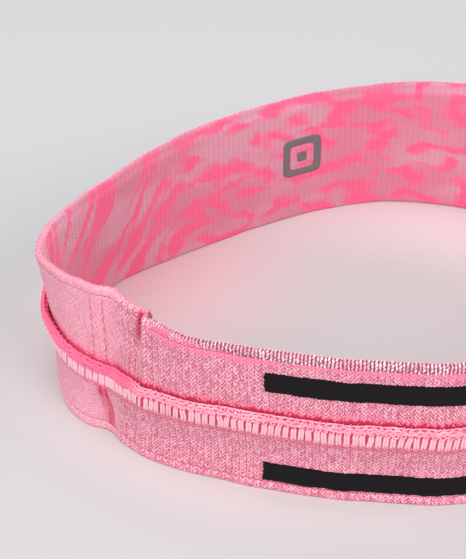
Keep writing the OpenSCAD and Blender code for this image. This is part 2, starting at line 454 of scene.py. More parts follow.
def ragged(count, step, seed):
    """Smooth noise from -1 to 1 at count places, with its bumps about step places wide."""
    knots = np.random.default_rng(seed).uniform(-1, 1, count // step + 3)
    return np.interp(np.arange(count) / step, np.arange(len(knots)), knots)


# ---------------------------------------------------------------------------
# Materials
# ---------------------------------------------------------------------------


def math_node(operation, swapped=False):
    """A method that adds a Math node of an operation to an output and to the values given with it."""

    def method(self, *others):
        values = (*others, self) if swapped else (self, *others)
        return self.paint.node("ShaderNodeMath", {"operation": operation}, dict(enumerate(values)))

    return method


class Wire:
    """A node's output. Python's operators add Math nodes to it."""

    def __init__(self, paint, socket):
        self.paint = paint
        self.socket = socket

    __add__ = __radd__ = math_node("ADD")
    __sub__ = math_node("SUBTRACT")
    __rsub__ = math_node("SUBTRACT", swapped=True)
    __mul__ = __rmul__ = math_node("MULTIPLY")
    __truediv__ = math_node("DIVIDE")
    __pow__ = math_node("POWER")
    __gt__ = math_node("GREATER_THAN")
    __abs__ = math_node("ABSOLUTE")
    floor = math_node("FLOOR")
    fraction = math_node("FRACT")
    sine = math_node("SINE")

    def between(self, low, high):
        """0 below low, 1 above high and a smooth rise between them."""
        settings = {"interpolation_type": "SMOOTHSTEP"}
        inputs = {"Value": self, "From Min": low, "From Max": high}
        return self.paint.node("ShaderNodeMapRange", settings, inputs)


class Paint:
    """A material of one Principled shader, whose nodes are added by name."""

    def __init__(self, name, **fixed):
        self.material = bpy.data.materials.new(name)
        self.material.use_nodes = True
        self.tree = self.material.node_tree
        self.shader = self.tree.nodes["Principled BSDF"]
        for socket, value in fixed.items():
            self.shader.inputs[socket.replace("_", " ")].default_value = value

    def node(self, kind, settings, inputs, output=0):
        """Adds a node of a kind, sets its settings first and then its sockets, and gives an output."""
        made = self.tree.nodes.new(kind)
        for key, value in settings.items():
            setattr(made, key, value)
        for key, value in inputs.items():
            self.put(made.inputs[key], value)
        return Wire(self, made.outputs[output])

    def put(self, socket, value):
        """Links or sets one socket. A word is the name of a colour setting."""
        if isinstance(value, Wire):
            self.tree.links.new(value.socket, socket)
        else:
            socket.default_value = shade_of(value) if isinstance(value, str) else value

    def set(self, socket, value):
        """Links what varies over the surface to a socket of the shader."""
        self.put(self.shader.inputs[socket], value)

    def mix(self, factor, first, second):
        """A colour between two colours."""
        inputs = {0: factor, 6: first, 7: second}
        return self.node("ShaderNodeMix", {"data_type": "RGBA"}, inputs, 2)

    def tint(self, shade, amount):
        """A colour with its brightness multiplied by an amount."""
        inputs = {0: shade_of(shade)[:3] if isinstance(shade, str) else shade, 3: amount}
        return self.node("ShaderNodeVectorMath", {"operation": "SCALE"}, inputs)

    def wales(self):
        """The wale and course numbers of the surface."""
        return self.parts(self.node("ShaderNodeUVMap", {"uv_map": WALE_MAP}, {}))

    def parts(self, vector):
        """The first two values of a vector."""
        first = self.node("ShaderNodeSeparateXYZ", {}, {0: vector})
        return first, Wire(self, first.socket.node.outputs[1])

    def vector(self, x, y, z=0.0):
        """A vector of three values."""
        return self.node("ShaderNodeCombineXYZ", {}, {0: x, 1: y, 2: z})

    def noise(self, vector, scale, detail=2.0, roughness=0.5, distortion=0.0):
        """Smooth noise from 0 to 1."""
        inputs = {"Vector": vector, "Scale": scale, "Detail": detail, "Roughness": roughness}
        return self.node("ShaderNodeTexNoise", {}, {**inputs, "Distortion": distortion})

    def chance(self, vector):
        """A random value from 0 to 1 for each different vector."""
        return self.node("ShaderNodeTexWhiteNoise", {"noise_dimensions": "3D"}, {"Vector": vector})

    def object_place(self):
        """The place on the object, in millimetres."""
        place = self.node("ShaderNodeTexCoord", {}, {}, "Object")
        return self.node("ShaderNodeVectorMath", {"operation": "SCALE"}, {0: place, 3: 1 / MM})

    def bump(self, height, depth):
        """Bumps of a height from 0 to 1, depth millimetres deep."""
        self.set("Normal", self.node("ShaderNodeBump", {}, {"Height": height, "Distance": depth * MM}))


class Stitches:
    """The knitted stitches of a surface: their legs' height and the numbers of each stitch."""

    def __init__(self, paint):
        self.wale, self.course = paint.wales()
        column = self.wale.floor()
        across = self.wale.fraction() - 0.5
        self.half = abs(across)
        phase = self.course - self.half * (2 * sizes().stitch_rise)
        self.row = phase.floor()
        ends = ((self.half * 0.85 + 0.075) * (2 * math.pi)).sine() ** 0.5
        self.leg = (phase.fraction() * math.pi).sine() * ends
        self.each_leg = paint.chance(paint.vector(column, self.row, across > 0))
        pitch = CIRCUMFERENCE / sizes().wales
        self.run = self.wale * pitch
        self.column_run = (column + 0.5) * pitch
        self.height = self.course * sizes().course


def painted_crease_shade(stitches):
    """Mask of painted shade: 1 in the upper part of the dark crease beside the closing seam, and 0
    elsewhere.
    """
    aside = abs(stitches.run - 16.6 + (BAND_HEIGHT - stitches.height) * 0.17)
    return (1 - aside.between(0.5, 1.7)) * stitches.height.between(34, 39)


def from_closing_seam(run, before, after, blend=6.0):
    """1 from a distance before the closing seam to a distance after it, and 0 elsewhere."""
    end = CIRCUMFERENCE - before
    return 1 - run.between(after - blend, after) + run.between(end - blend, end)


def knitted(name, roughness=0.9):
    """A matt, slightly fuzzy material, and the stitches of its surface."""
    paint = Paint(name, Roughness=roughness, Sheen_Weight=0.08, Sheen_Roughness=0.5)
    return paint, Stitches(paint)


def lining_yarn(paint, stitches):
    """Heathered yarn: pale legs over deep gaps, calmer near the closing seam where the knit is slack. The
    legs' paleness is painted highlight and the gaps' depth is painted shade, following the stitch relief,
    with painted highlight specks and painted shade in the hollows.
    """
    grain = paint.noise(paint.object_place(), 3.4, 1.0)
    lie = paint.noise(paint.object_place(), 0.16, 2.0)
    calm = from_closing_seam(stitches.run, 70, 11)
    every_other = (stitches.row * 0.5).fraction() * 2
    # Painted highlight on the raised legs and painted shade in the gaps, mixed with each leg's random tone.
    light = stitches.leg * (0.3 + 0.75 * stitches.each_leg) - every_other * 0.06
    light = light + (grain - 0.5) * 3.4 + (lie - 0.5) * 0.2
    light = light.between(-0.1, 0.9)
    light = light * (1 - calm * 0.55) + calm * 0.42
    knit = paint.mix(light, "lining_deep", "lining_light")
    # Painted highlight: silver specks on the raised legs.
    painted_highlight_speck = (stitches.leg * 0.6 + grain * 0.9 + stitches.each_leg * 0.25).between(1.1, 1.3) * (1 - calm)
    knit = paint.mix(painted_highlight_speck * 0.6, knit, "silver")
    # Painted shade in the hollows between the legs.
    painted_hollow_shade = 1 - (stitches.leg + (grain - 0.5) * 1.2 + (stitches.each_leg - 0.5) * 0.3).between(0.0, 0.35)
    return paint.mix(painted_hollow_shade * (1 - calm) * 0.55, knit, "painted_gap_mauve")


def finish_knit(paint, stitches, knit, depth):
    """Ends a knitted material with its colour and its bumps."""
    fuzz = paint.noise(paint.object_place(), 3.0, 2.0)
    paint.set("Base Color", knit)
    paint.bump(stitches.leg * 0.75 + fuzz * 0.25, depth)
    return paint.material


def upper_lining_material():
    """The upper lining: bright in blotches under the turned edge, with painted shade in the seam's crease,
    crimson at its foot and hot pink above it, and a painted crimson line down the crease beside the closing
    seam.
    """
    paint, stitches = knitted("lining_knit_upper")
    knit = lining_yarn(paint, stitches)
    uneven = paint.noise(paint.vector(stitches.column_run * 0.22, stitches.height * 0.2), 1.0, 1.0)
    height = stitches.height + (uneven - 0.5) * 6 + (stitches.each_leg - 0.5) * 0.8
    bright = paint.mix(stitches.leg * 0.6, "hot_pink", "loop_pink")
    open_side = 1 - from_closing_seam(stitches.run, 90, 18)
    under_lip = height.between(LINING_TOP - 2.2, LINING_TOP - 1.0)
    knit = paint.mix(under_lip * open_side * 0.95, knit, bright)
    # Painted shade: a crimson line down the crease beside the closing seam.
    dark = painted_crease_shade(stitches) * (0.6 + 0.4 * stitches.each_leg)
    knit = paint.mix(dark, knit, paint.tint("painted_shade_crimson", 0.7))
    allowance = stitches.height.between(LINING_TOP + 2, LINING_TOP + 4)
    knit = paint.mix(allowance, knit, "hot_pink")
    # Painted shade in the seam's crease at the foot of the wall: a hot-pink band, then crimson lower down,
    # paler near the closing seam.
    rise = stitches.height + (stitches.each_leg - 0.5) * 1.3
    knit = paint.mix((1 - rise.between(SEAM_TOP + 1.0, SEAM_TOP + 3.0)) * 0.8, knit, bright)
    crease_shade = paint.mix((1 - open_side) * 0.7, "painted_shade_crimson", "hot_pink")
    knit = paint.mix(1 - rise.between(SEAM_TOP + 0.6, SEAM_TOP + 1.5), knit, crease_shade)
    return finish_knit(paint, stitches, knit, 0.3)


def lower_lining_material():
    """The lower lining, with painted shade behind the bars of the seam and under their foot, and bright
    along its raw edge.
    """
    paint, stitches = knitted("lining_knit_lower")
    knit = lining_yarn(paint, stitches)
    # Painted shade behind the bars: crimson to hot pink, paler near the closing seam.
    behind = stitches.height.between(SEAM_BOTTOM + 1.2, SEAM_BOTTOM + 2.0)
    deep = paint.mix(stitches.leg * 0.35, "painted_shade_crimson", "hot_pink")
    deep = paint.mix(from_closing_seam(stitches.run, 90, 10) * 0.7, deep, "bar_pink")
    knit = paint.mix(behind, knit, deep)
    # Painted shade in scattered spots under the foot of the bars.
    under = stitches.height.between(SEAM_BOTTOM - 1.3, SEAM_BOTTOM - 0.3) * stitches.each_leg
    knit = paint.mix(under * (1 - behind) * 0.6, knit, "painted_shade_crimson")
    edge = stitches.height.between(BAR_TOP, BAR_TOP + 1.2)
    knit = paint.mix(edge, knit, "hot_pink")
    return finish_knit(paint, stitches, knit, 0.3)


def pressed_seam_material():
    """The pressed ridge of the closing seam, with painted shade in its groove, along its sides, at its
    head, on its right roll and a little over all of it.
    """
    paint, stitches = knitted("lining_knit_pressed")
    knit = lining_yarn(paint, stitches)
    # Painted shade in crimson over the groove, the sides, the head and the right roll, and a little over
    # the whole ridge.
    aside = abs(stitches.wale)
    sunk = 1 - aside.between(0.05, 0.28) + aside.between(0.72, 1.0) + stitches.height.between(15, 18) * 1.2
    knit = paint.mix((stitches.wale > 0) * 0.2 + sunk * 0.35 + 0.12, knit, "painted_shade_crimson")
    return finish_knit(paint, stitches, knit, 0.3)


def side_of_band(run):
    """1 on the near side, where the turned edge's ground yarn is silver, and 0 elsewhere."""
    return run.between(*NEAR_BEGINS) - run.between(*NEAR_ENDS)


def turned_over(run):
    """How far the turned edge's yarn reaches over the top: 1 past it on the near side and left end."""
    return 1 - run.between(*FOLD_LEAVES) + run.between(*FOLD_RETURNS)


def face_material():
    """Two-colour patterned knit: hot islands on a dusty ground, in steep streaks at the left end. Heights
    run on from its lip over the top and down inside, to about 90 at the bottom and past it at the hem."""
    paint, stitches = knitted("face_knit", 0.88)
    run = stitches.run * 0.55 + stitches.column_run * 0.45
    fall = stitches.height + (stitches.each_leg - 0.5) * 0.7
    waver = paint.noise(paint.vector(run * 0.03, fall * 0.05), 1.0, 1.0)
    flat_lean = run * 0.105 + fall * 0.03 + waver * 0.8
    islands = paint.noise(paint.vector(flat_lean, fall * 0.18), 1.0, 0.7, 0.5, 0.5)
    steep_lean = run * 0.16 - fall * 0.1 + waver * 2.2
    streaks = paint.noise(paint.vector(steep_lean, fall * 0.04), 1.0, 0.6, 0.5, 0.8)
    foot = fall.between(70, 86)
    left_end = run.between(*LEFT_END)
    pattern = islands * (1 - left_end) + (streaks + 0.03 + foot * 0.09) * left_end
    grey = paint.noise(paint.vector(run * 0.022, fall * 0.06), 1.0, 1.0).between(0.42, 0.62)
    ground = paint.mix(grey, "rose_pink", "dusty_pink")
    knit = paint.mix(pattern.between(0.44, 0.62), ground, "hot_pink")
    lip = (BAND_HEIGHT - TURN_OVER) / sizes().course
    # Painted highlight on the raised legs, painted shade towards each wale's edges and over the crown of
    # the turned edge.
    over = 1 - stitches.course.between(lip + 3.2, lip + 4.8)
    light = 0.88 + stitches.leg * 0.12 - stitches.half * 0.06 - over * 0.16
    knit = paint.tint(knit, light + left_end * 0.05)
    lining = lining_yarn(paint, stitches)
    near = side_of_band(run)
    fold = 1 - (stitches.course - turned_over(run) * 2.6).between(lip + 1.9, lip + 2.6)
    # Painted shade seen in the gaps between the turned edge's legs on the near side.
    low_edge = stitches.course + run.between(20, 54) * 2.6
    gap = near * low_edge.between(lip + 2.0, lip + 2.8)
    blotch = paint.noise(paint.vector(run * 0.22, 7.0), 1.0, 1.0).between(0.42, 0.62)
    turned_yarn = paint.mix(near * blotch * 0.8, lining, "hot_pink")
    turned_yarn = paint.mix(gap, turned_yarn, "painted_gap_mauve")
    # Painted shade in the crease beside the closing seam, below the crown.
    below_crown = 1 - stitches.height.between(BAND_HEIGHT - 1.4, BAND_HEIGHT - 0.2)
    turned_yarn = paint.mix(painted_crease_shade(stitches) * below_crown, turned_yarn, "painted_shade_crimson")
    knit = paint.mix(fold, knit, turned_yarn)
    hem = stitches.height.between(93.4, 94.2)
    knit = paint.mix(hem, knit, lining)
    return finish_knit(paint, stitches, knit, 0.18)


def fold_yarn_material():
    """Yarn of the turned edge: silver on the near side and dusty elsewhere, with hot legs among it."""
    paint = Paint("fold_yarn", Roughness=0.85, Sheen_Weight=0.08, Sheen_Roughness=0.5)
    along, around = paint.wales()
    row = (around * 0.1).floor()
    each = paint.chance(paint.vector((along * 2).floor(), row))
    run = along * (CIRCUMFERENCE / sizes().wales)
    zone = paint.noise(paint.vector(run * 0.11, row * 0.35), 1.0, 1.0)
    near = side_of_band(run)
    hot = (zone + (each - 0.5) * 0.25).between(0.56, 0.62)
    silver = paint.mix(each.between(0.0, 0.7), "dusty_pink", "silver")
    slack_end = from_closing_seam(run, 60, 17, 4.0)
    pale = paint.mix(slack_end * 0.55, "lining_light", "rose_pink")
    ground = paint.mix(near, pale, silver)
    ground = paint.tint(ground, 0.88 + each * 0.14)
    bright = paint.mix(0.35, "hot_pink", "silver")
    grain = paint.noise(paint.object_place(), 2.5, 2.0)
    knit = paint.mix(hot * (0.35 + near * 0.35), ground, bright)
    paint.set("Base Color", paint.tint(knit, 0.85 + grain * 0.3))
    paint.bump(grain, 0.08)
    return paint.material


def thread_material(name, shade, deep, turns, left_shade=None, head_shade=None):
    """Twisted thread, with painted shade between its filaments. It can take another shade near the closing
    seam, and another over the last part of each thread."""
    paint = Paint(name, Roughness=0.6, Sheen_Weight=0.3, Sheen_Roughness=0.4)
    along, around = paint.wales()
    twist = (along * turns + around * 2).fraction()
    strand = (twist * math.pi).sine()
    grain = paint.noise(paint.object_place(), 1.3, 2.0)
    base = shade
    if left_shade:
        run = along * (CIRCUMFERENCE / sizes().wales)
        base = paint.mix(from_closing_seam(run, 90, 24, 12.0), base, left_shade)
    if head_shade:
        head = along.fraction().between(0.55, 0.95)
        base = paint.mix(head * 0.8, base, head_shade)
    each = paint.chance(paint.vector(along.floor(), 0.0))
    # Painted shade between the filaments, with random tone along each thread and from thread to thread.
    light = strand * 0.4 + grain * 0.55 + each * 0.3
    paint.set("Base Color", paint.mix(light, deep, base))
    paint.bump(strand, 0.08)
    return paint.material


def velvet_material():
    """Black velvet: a fine uneven pile that catches a little light."""
    paint = Paint("grip_velvet", Roughness=0.95, Sheen_Weight=0.03, Sheen_Roughness=0.5)
    paint.shader.inputs["Specular IOR Level"].default_value = 0.15
    place = paint.object_place()
    pile = paint.noise(place, 3.0, 3.0, 0.7)
    lay = paint.noise(place, 0.35, 2.0)
    paint.set("Base Color", paint.tint("velvet", 0.55 + pile * 0.5 + lay * 0.4))
    paint.bump(pile, 0.25)
    return paint.material


def film_material():
    """Grey reflective film, printed on the knit and slightly broken up by it."""
    paint = Paint("reflective_film", Roughness=0.45, Metallic=0.25)
    place = paint.object_place()
    beads = paint.noise(place, 4.0, 2.0)
    wear = paint.noise(place, 0.6, 3.0)
    paint.set("Base Color", paint.tint("film", 0.7 + beads * 0.35 + wear * 0.25))
    paint.set("Roughness", 0.35 + beads * 0.3)
    paint.bump(beads, 0.05)
    return paint.material


def apart(x, y):
    """How far a place is from the origin."""
    return (x * x + y * y) ** 0.5


def floor_material():
    """Matt paper sweep, with painted light and shade: warmer where the band throws its pink light on it,
    rose at its left end, darker in the middle of the loop than at its walls, brighter just beside the band
    and towards the back.
    """
    paint = Paint("paper_floor", Roughness=0.7)
    x, y = paint.parts(paint.object_place())
    loop = apart(x / 91, y / 78)
    left_end = apart(x + 62, y - 30)
    inside = paint.mix(loop.between(0.4, 0.95), "floor_inside", "floor_glow")
    inside = paint.mix((1 - left_end.between(5, 60)) * 0.6, inside, "floor_rose")
    sweep = paint.mix(y.between(40, 160), "floor", "floor_back")
    outside = paint.mix(loop.between(1.02, 1.28), "floor_beside", sweep)
    paint.set("Base Color", paint.mix(loop.between(0.95, 1.0), inside, outside))
    return paint.material


# ---------------------------------------------------------------------------
# Pieces
# ---------------------------------------------------------------------------


class HeadbandOperator:
    """What every operator of the headband shares."""

    bl_options = {"REGISTER", "UNDO"}


class HEADBAND_OT_face_panel(HeadbandOperator, bpy.types.Operator):
    """Patterned face, from its lip on the lining side over the top edge, down inside and out again"""

    bl_idname = "headband.face_panel"
    bl_label = "Face Panel"

    def execute(self, context):
        s = sizes()
        high, lip_top, lip_foot = BAND_HEIGHT, BAND_HEIGHT - TURN_OVER, TURN_OVER
        roll = 1.2
        fine = s.course / 4
        top_fold = rounded([
            (SKIN - 0.05, lip_top - 0.15), (SKIN, high - roll), (SKIN * 0.8, high - 0.3),
            (-0.1, high - 0.3), (-SKIN * 0.5, high - roll), (-SKIN, high - 3 * roll),
        ])
        bottom_fold = rounded([
            (-SKIN, roll), (-SKIN, 0.15), (-SKIN * 0.6, 0), (SKIN * 0.6, 0), (SKIN, 0.15),
            (SKIN, roll), (SKIN, lip_foot),
        ])
        outline = Outline([
            (top_fold, 2 * fine, s.fold_relief),
            ([top_fold[-1], bottom_fold[0]], s.course / 1.5, s.face_relief),
            (bottom_fold, 2 * fine, s.lining_relief),
            ([bottom_fold[-1], (AIR, lip_foot), (-AIR, roll)], roll, 0),
            ([(-AIR, roll), (-AIR, high - roll)], 8, 0),
            ([(-AIR, high - roll), (AIR, lip_top), top_fold[0]], roll, 0),
        ])
        cloth("face_panel", outline, face_material(), "face_knit")
        self.fold_legs(s, high)
        return {"FINISHED"}

    @staticmethod
    def fold_legs(s, high):
        """Stitches opened out over the turned edge: rows of two upright legs to each wale."""
        reach = SKIN + 0.08
        over = rounded([
            (reach, high - TURN_OVER - 0.4), (reach, high - 1.1), (reach * 0.75, high - 0.15),
            (-0.15, high - 0.15), (-reach * 0.5, high - 1.1), (-reach * 0.8, high - 2.2),
        ])
        lengths = along_chain(over)
        pitch = CIRCUMFERENCE / s.wales
        shake = np.random.default_rng(21)
        rows, points = 6, 5
        paths, marks = [], []
        for leg in range(s.wales * 2):
            middle = (leg / 2 + 0.25) * pitch
            first = np.interp(middle, [18, 26, 52], [0.45, 0.33, 0])
            last = np.interp(middle, [*FOLD_LEAVES, *FOLD_RETURNS], [1, 0.45, 0.45, 1])
            for row in range(rows):
                share = (row + leg % 2 / 2 + np.linspace(-0.1, 1.05, points)) / rows
                share = share + shake.normal(0, 0.015)
                place = (first + (last - first) * share) * lengths[-1]
                lean = (0.45 if leg % 2 else -0.18) + shake.normal(0, 0.12)
                run = middle + shake.normal(0, 0.07) + lean * np.linspace(-0.5, 0.5, points)
                out, height = (np.interp(place, lengths, over[:, k]) for k in (0, 1))
                paths.append(np.stack([run, out, height], 1))
                marks.append([leg / 2, row * 10])
        run = about_seam(np.array(paths)[:, :1, 0])
        marked = [-100, 0, 16, 19, 28, 52, *NEAR_ENDS]
        plump = np.interp(run, marked, [0.5, 0.4, 0.15, 0.4, 0.6, 1, 1, 0.62])
        taper = np.array([0.35, 0.9, 1, 0.9, 0.35]) * plump
        width, depth = 0.7, 0.44
        legs = threads("face_panel_fold_legs", paths, width, depth, taper, sides=5, marks=marks)
        dress(legs, fold_yarn_material(), "face_knit", "face_panel")


def slack(run, more):
    """Thickness of a thread along the seam, as a share of its own: more where the seam hangs slack."""
    marked = [0, 10, 26, CIRCUMFERENCE - 100, CIRCUMFERENCE - 80]
    return 1 + more * np.interp(run, marked, [1, 1, 0, 0, 1])


# The seam allowance: how far it leans out from its foot to its raw edge, the thickness of each of its
# plies, and the distances out of the backs of the inner ply and the outer ply
LEAN = 0.6
PLY = 0.85
INNER_BACK = 1.5
OUTER_BACK = 2.4


def allowance_front(height):
    """Distance out of the seam allowance's front at a height."""
    return OUTER_BACK + PLY + LEAN * np.clip((height - SEAM_BOTTOM) / (SEAM_TOP - SEAM_BOTTOM), 0, 1.3)


class HEADBAND_OT_linings(HeadbandOperator, bpy.types.Operator):
    """Upper and lower lining, each with the end that stands up as a ply of the seam allowance"""

    bl_idname = "headband.linings"
    bl_label = "Linings"

    def execute(self, context):
        s = sizes()
        row = s.course / 4
        crease = SEAM_BOTTOM + 0.4
        inner_tip = INNER_BACK + LEAN
        wall = [(SKIN, crease), (SKIN, LINING_TOP - 0.1)]
        upper = Outline([
            (wall, row, s.lining_relief),
            ([wall[-1], (SKIN - 0.1, LINING_TOP), (AIR, LINING_TOP)], 0.7, 0),
            ([(AIR, LINING_TOP), (AIR, LINING_FOLD)], 8, 0),
            ([(AIR, LINING_FOLD), (INNER_BACK + PLY, LINING_FOLD)], 1.2, 0),
            ([(INNER_BACK + PLY, LINING_FOLD), (inner_tip + PLY, SEAM_TOP)], 2.5, 0),
            (rounded([(inner_tip + PLY, SEAM_TOP), (inner_tip + PLY * 0.8, SEAM_TOP + 0.3),
                      (inner_tip + 0.2, SEAM_TOP + 0.3), (inner_tip, SEAM_TOP)]), 0.4, 0.1),
            ([(inner_tip, SEAM_TOP), (INNER_BACK, crease)], 2 * row, 0.1),
        ])
        slant = rounded([
            (SKIN, LINING_FOOT + 0.3), (SKIN, SEAM_BOTTOM - 8), (SKIN + 0.5, SEAM_BOTTOM - 5),
            (allowance_front(0) - 0.3, SEAM_BOTTOM - 1), (allowance_front(0), SEAM_BOTTOM + 0.6),
            (allowance_front(SEAM_TOP), SEAM_TOP),
        ])
        outer_tip = OUTER_BACK + LEAN
        lower = Outline([
            (slant, row, s.lining_relief),
            (rounded([slant[-1], (outer_tip + PLY * 0.8, SEAM_TOP + 0.3),
                      (outer_tip + 0.2, SEAM_TOP + 0.3), (outer_tip, SEAM_TOP)]), 0.4, 0.1),
            ([(outer_tip, SEAM_TOP), (OUTER_BACK, SEAM_BOTTOM - 0.8)], 2.5, 0),
            ([(OUTER_BACK, SEAM_BOTTOM - 0.8), (AIR, SEAM_BOTTOM - 7)], 3, 0),
            ([(AIR, SEAM_BOTTOM - 7), (AIR, LINING_FOOT)], 5, 0),
            ([(AIR, LINING_FOOT), (SKIN - 0.3, LINING_FOOT), slant[0]], 0.7, 0),
        ])
        cloth("lining_upper", upper, upper_lining_material(), "lining_knit")
        cloth("lining_lower", lower, lower_lining_material(), "lining_knit")
        return {"FINISHED"}


class HEADBAND_OT_overlock(HeadbandOperator, bpy.types.Operator):
    """Needle, upper looper and lower looper threads of the overlocked seam"""

    bl_idname = "headband.overlock"
    bl_label = "Overlock Threads"

    def execute(self, context):
        s = sizes()
        pitch = CIRCUMFERENCE / s.wales
        self.bars(s, pitch)
        self.loops(s, pitch)
        self.needle(s, pitch)
        return {"FINISHED"}

    @staticmethod
    def bars(s, pitch):
        """Two strands side by side for each stitch, up the front of the allowance."""
        shake = np.random.default_rng(7)
        along = np.linspace(0, 1, 9)
        taper = np.array([0.45, 0.85, 1, 1, 1, 1, 1, 0.85, 0.45])
        dip = np.array([0.3, 0.08, 0, 0, 0, 0, 0, 0.08, 0.25])
        paths = []
        for stitch in range(s.wales):
            lean = 0.22 + shake.normal(0, 0.16)
            middle = (stitch + 0.5) * pitch + shake.normal(0, 0.08)
            bend = shake.normal(0, 0.09) * np.sin(math.pi * 1.5 * along + shake.uniform(0, 3))
            low = BAR_BOTTOM - 0.5 + shake.normal(0, 0.13)
            high = BAR_TOP + shake.normal(0, 0.13)
            for side in (-1, 1):
                run = middle + side * 0.4 * (1 - 0.1 * along) + lean * (along - 0.5) + bend
                height = low + (high - low) * along + side * 0.06
                out = allowance_front(height) + s.strand * 0.42 - dip
                paths.append(np.stack([run, out, height], 1))
        marks = [[stitch, side] for stitch in range(s.wales) for side in (0, 0.5)]
        middle = np.mod(np.array(paths)[:, :1, 0], CIRCUMFERENCE)
        taper = taper * slack(middle, 0.32)
        width = 0.88
        piece = threads("overlock_bars", paths, width, s.strand, taper, marks=marks)
        material = thread_material("bar_thread", "bar_pink", "loop_pink", 0.12, head_shade="loop_pink")
        dress(piece, material, "looper_thread", "overlock_upper_looper_thread")

    @staticmethod
    def loops(s, pitch):
        """Chains of loops on the front, top and back of the raw edge, and the threads that cross it."""
        material = thread_material("loop_thread", "bar_pink", "hot_pink", 2.2, left_shade="hot_pink")
        steps = 14
        t = np.arange(s.wales * steps) / steps
        turn = 2 * math.pi * t
        wander = 0.12 * np.interp(t, np.arange(s.wales + 1), ragged(s.wales + 1, 2, 3))
        chains = (
            ("overlock_loops_front", 0.25, 0.46, 0.6, BAR_TOP + 0.5, 0.05, 0.2),
            ("overlock_loops_upper", 0.6, 0.5, 0.68, BAR_TOP + 1.2, -0.05, 0.3),
            ("overlock_loops_top", 0.1, 0.42, 0.42, SEAM_TOP + 0.45, -0.75, 0.3),
        )
        for name, start, swing, rise, middle, back, roll in chains:
            phase = turn + 2 * math.pi * start
            uneven = ragged(s.wales + 1, 1, int(start * 90))
            unevenness = 1 + 0.6 * np.interp(t, np.arange(s.wales + 1), uneven)
            run = (t - swing * np.sin(phase) * 0.9 * unevenness) * pitch
            height = middle + wander - rise * np.cos(phase) * unevenness
            out = allowance_front(height) + s.strand * 0.4 + back - roll * (0.5 - 0.5 * np.cos(phase))
            line = [np.stack([run, out, height], 1)]
            taper = slack(t * pitch, 0.6)
            chain = threads(name, line, s.strand * 1.05, s.strand, taper, closed=True)
            dress(chain, material, "seam_thread", "overlock_lower_looper_thread")
        shake = np.random.default_rng(11)
        arc = np.linspace(0, math.pi, 8)
        crossings = []
        for stitch in range(s.wales):
            run = (stitch + 0.75 + shake.normal(0, 0.05)) * pitch + np.linspace(-0.3, 0.35, 8)
            out = INNER_BACK + LEAN + PLY + np.cos(arc) * 1.05 + 0.1
            height = SEAM_TOP + 0.05 + np.sin(arc) * 0.55
            crossings.append(np.stack([run, out, height], 1))
        taper = [0.6, 1, 1, 1, 1, 1, 1, 0.6]
        over = threads("overlock_crossings", crossings, s.strand, s.strand, taper)
        dress(over, material, "seam_thread", "overlock_lower_looper_thread")

    @staticmethod
    def needle(s, pitch):
        """Needle thread, a wavy line at the foot of the bars."""
        steps = 8
        t = np.arange(s.wales * steps) / steps
        turn = 2 * math.pi * t
        height = BAR_BOTTOM - 0.45 + 0.2 * np.cos(turn)
        out = allowance_front(height) - 0.02 + 0.1 * np.sin(turn)
        line = [np.stack([t * pitch, out, height], 1)]
        width = 0.4
        piece = threads("overlock_needle_line", line, width, width, taper=1, closed=True)
        material = thread_material("needle_thread", "needle_pink", "lining_deep", 0.25)
        dress(piece, material, "seam_thread", "overlock_needle_thread")


class HEADBAND_OT_grip_strips(HeadbandOperator, bpy.types.Operator):
    """Velvet strips that keep the band from slipping, with uneven cut edges"""

    bl_idname = "headband.grip_strips"
    bl_label = "Grip Strips"

    def execute(self, context):
        material = velvet_material()
        for number, node in enumerate(("grip_strip_upper", "grip_strip_lower")):
            dress(self.strip(node, number), material, "velvet", node)
        return {"FINISHED"}

    @staticmethod
    def strip(node, number):
        """One strip, in the place of its frame node."""
        low, high = box_mm(node)
        spacing = 0.35
        columns = round((CIRCUMFERENCE - 2 * STRIP_GAP) / spacing)
        rows = 18
        run = np.linspace(STRIP_GAP, CIRCUMFERENCE - STRIP_GAP, columns)[:, None] * np.ones(rows)
        share = np.linspace(0, 1, rows)
        nap = 0.6 * sizes().strip_nap
        foot, head = (
            edge + nap * (ragged(columns, 2, seed) + ragged(columns, 9, seed + 10))
            for edge, seed in ((low[2], number), (high[2], number + 20))
        )
        height = foot[:, None] * (1 - share) + head[:, None] * share
        edge = np.minimum(share, 1 - share)
        ends = np.minimum(np.arange(columns), np.arange(columns)[::-1])[:, None] / 2
        crown = np.clip(np.minimum(edge * 10, 0.35 + ends), 0, 1) ** 0.5
        pile = np.random.default_rng(number + 40).uniform(-0.04, 0.04, (columns, rows))
        for end, seed in ((0, number + 50), (-1, number + 60)):
            run[end] += (1 + 2 * end) * np.random.default_rng(seed).uniform(-0.3, 0.3, rows)
        sunk, backing, velvet = 0.05, 0.12, 0.42
        return patch(node, run, height, SKIN - sunk, SKIN + backing + velvet * crown + pile)


